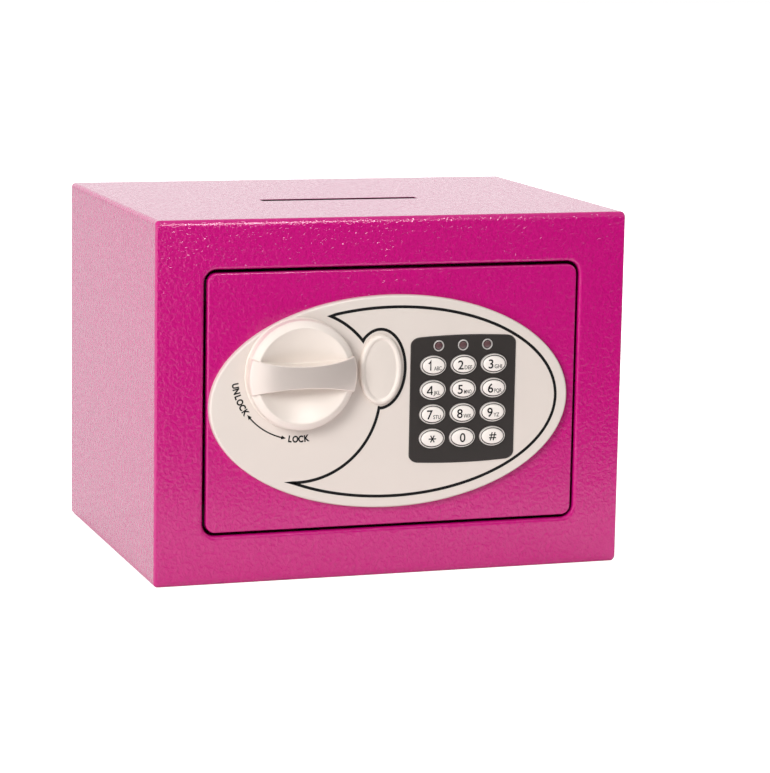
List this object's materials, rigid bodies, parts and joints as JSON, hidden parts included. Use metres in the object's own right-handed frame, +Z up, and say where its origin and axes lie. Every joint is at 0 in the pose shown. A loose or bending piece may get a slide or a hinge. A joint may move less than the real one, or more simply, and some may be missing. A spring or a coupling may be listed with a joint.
{
  "type": "electronic safe with coin slot",
  "caption": "Compact sheet-steel safe with a coin slot in its roof, a hinged door, an oval faceplate with knob, keypad and key override, and working bolts behind the door.",
  "frame": {"origin": "centre of the cabinet's base, on the surface that it stands on", "axes": "+Z up; +X to the right as seen from the front, along the cabinet's width; the door faces -Y"},
  "size_m": [0.23, 0.1857, 0.17],
  "materials": {
    "paint": "hammered gloss powder coat",
    "cover_paint": "satin black paint",
    "steel": "zinc plated",
    "bolt": "nickel plated, turned",
    "brass": "turned",
    "faceplate": "silver-white lacquered moulding",
    "knob": "silver-white lacquered moulding",
    "grip": "bright silver strip",
    "keypad": "smooth, dark grey",
    "key": "pale rubbery moulding with dark print",
    "bezel": "silver",
    "lens": "smoked translucent",
    "board": "printed circuit board",
    "wire": "insulated wire",
    "coil": "taped copper winding",
    "cell": "plain printed sleeve",
    "black_plastic": "fine moulded grain",
    "red_plastic": "moulded"
  },
  "bodies": {
    "cabinet": {"cabinet_shell": "paint", "back_panel": "paint", "door_stops": "paint", "hinge_lugs": "paint", "hinge_rods": "steel"},
    "door": {"door_panel": "paint", "hinge_arms": "paint", "door_cover": "cover_paint", "cover_posts": "steel", "cover_screws": "steel", "bolt_guide": "steel", "guide_studs": "steel", "stud_clips": "steel", "faceplate": "faceplate", "faceplate_screws": "steel", "spindle_bush": "brass", "keypad_panel": "keypad", "led_bezels": "bezel", "led_lenses": "lens", "keypad_board": "board", "wire_leads": "wire", "lock_barrel": "brass", "lock_nut": "steel", "solenoid_frame": "steel", "solenoid_coil": "coil", "plunger_spring": "steel", "battery_tray": "black_plastic", "battery_cells": "cell", "battery_contacts": "steel", "reset_switch": "black_plastic"},
    "knob": {"knob_body": "knob", "knob_grip": "grip", "knob_spindle": "steel", "bolt_cam": "steel", "drive_pin": "steel", "cam_screw": "steel"},
    "bolts": {"bolt_carriage": "steel", "lock_bolts": "bolt", "bolt_screws": "steel"},
    "plunger": {"solenoid_plunger": "steel"},
    "override_plug": {"lock_plug": "brass", "override_cam": "steel", "override_screw": "steel"},
    "override_cap": {"override_cover": "faceplate"},
    "battery_lid": {"battery_lid": "black_plastic"},
    "reset_button": {"reset_button": "red_plastic"},
    "key_1": {"key_1": "key"},
    "key_2": {"key_2": "key"},
    "key_3": {"key_3": "key"},
    "key_4": {"key_4": "key"},
    "key_5": {"key_5": "key"},
    "key_6": {"key_6": "key"},
    "key_7": {"key_7": "key"},
    "key_8": {"key_8": "key"},
    "key_9": {"key_9": "key"},
    "key_star": {"key_star": "key"},
    "key_0": {"key_0": "key"},
    "key_hash": {"key_hash": "key"}
  },
  "joints": [
    {"name": "door_swing", "type": "hinge", "parent": "cabinet", "child": "door", "pos_m": [0.1025, -0.079, 0.085], "axis": [0, 0, 1], "range_deg": [0, 100]},
    {"name": "knob_turn", "type": "hinge", "parent": "door", "child": "knob", "pos_m": [-0.0475, -0.09, 0.0984], "axis": [0, -1, 0], "range_deg": [0, 90]},
    {"name": "bolt_slide", "type": "slide", "parent": "door", "child": "bolts", "axis": [-1, 0, 0], "range_m": [0, 0.012]},
    {"name": "plunger_slide", "type": "slide", "parent": "door", "child": "plunger", "axis": [0, 0, 1], "range_m": [0, 0.005], "deforming": ["plunger_spring"]},
    {"name": "override_turn", "type": "hinge", "parent": "door", "child": "override_plug", "pos_m": [-0.0082, -0.08, 0.099], "axis": [0, -1, 0], "range_deg": [0, 90]},
    {"name": "override_cap_pull", "type": "slide", "parent": "door", "child": "override_cap", "axis": [0, -1, 0], "range_m": [0, 0.014]},
    {"name": "battery_lid_pull", "type": "slide", "parent": "door", "child": "battery_lid", "axis": [0, 1, 0], "range_m": [0, 0.02]},
    {"name": "reset_press", "type": "slide", "parent": "door", "child": "reset_button", "axis": [0, -1, 0], "range_m": [0, 0.0015], "stiffness_N_per_m": 400, "springref_m": -0.0005},
    {"name": "key_1_press", "type": "slide", "parent": "door", "child": "key_1", "axis": [0, 1, 0], "range_m": [0, 0.001], "stiffness_N_per_m": 300, "springref_m": -0.0005},
    {"name": "key_2_press", "type": "slide", "parent": "door", "child": "key_2", "axis": [0, 1, 0], "range_m": [0, 0.001], "stiffness_N_per_m": 300, "springref_m": -0.0005},
    {"name": "key_3_press", "type": "slide", "parent": "door", "child": "key_3", "axis": [0, 1, 0], "range_m": [0, 0.001], "stiffness_N_per_m": 300, "springref_m": -0.0005},
    {"name": "key_4_press", "type": "slide", "parent": "door", "child": "key_4", "axis": [0, 1, 0], "range_m": [0, 0.001], "stiffness_N_per_m": 300, "springref_m": -0.0005},
    {"name": "key_5_press", "type": "slide", "parent": "door", "child": "key_5", "axis": [0, 1, 0], "range_m": [0, 0.001], "stiffness_N_per_m": 300, "springref_m": -0.0005},
    {"name": "key_6_press", "type": "slide", "parent": "door", "child": "key_6", "axis": [0, 1, 0], "range_m": [0, 0.001], "stiffness_N_per_m": 300, "springref_m": -0.0005},
    {"name": "key_7_press", "type": "slide", "parent": "door", "child": "key_7", "axis": [0, 1, 0], "range_m": [0, 0.001], "stiffness_N_per_m": 300, "springref_m": -0.0005},
    {"name": "key_8_press", "type": "slide", "parent": "door", "child": "key_8", "axis": [0, 1, 0], "range_m": [0, 0.001], "stiffness_N_per_m": 300, "springref_m": -0.0005},
    {"name": "key_9_press", "type": "slide", "parent": "door", "child": "key_9", "axis": [0, 1, 0], "range_m": [0, 0.001], "stiffness_N_per_m": 300, "springref_m": -0.0005},
    {"name": "key_star_press", "type": "slide", "parent": "door", "child": "key_star", "axis": [0, 1, 0], "range_m": [0, 0.001], "stiffness_N_per_m": 300, "springref_m": -0.0005},
    {"name": "key_0_press", "type": "slide", "parent": "door", "child": "key_0", "axis": [0, 1, 0], "range_m": [0, 0.001], "stiffness_N_per_m": 300, "springref_m": -0.0005},
    {"name": "key_hash_press", "type": "slide", "parent": "door", "child": "key_hash", "axis": [0, 1, 0], "range_m": [0, 0.001], "stiffness_N_per_m": 300, "springref_m": -0.0005}
  ],
  "couplings": [
    {"joint": "knob_turn", "follows": "bolt_slide", "rad_per_m": 130.9}
  ]
}
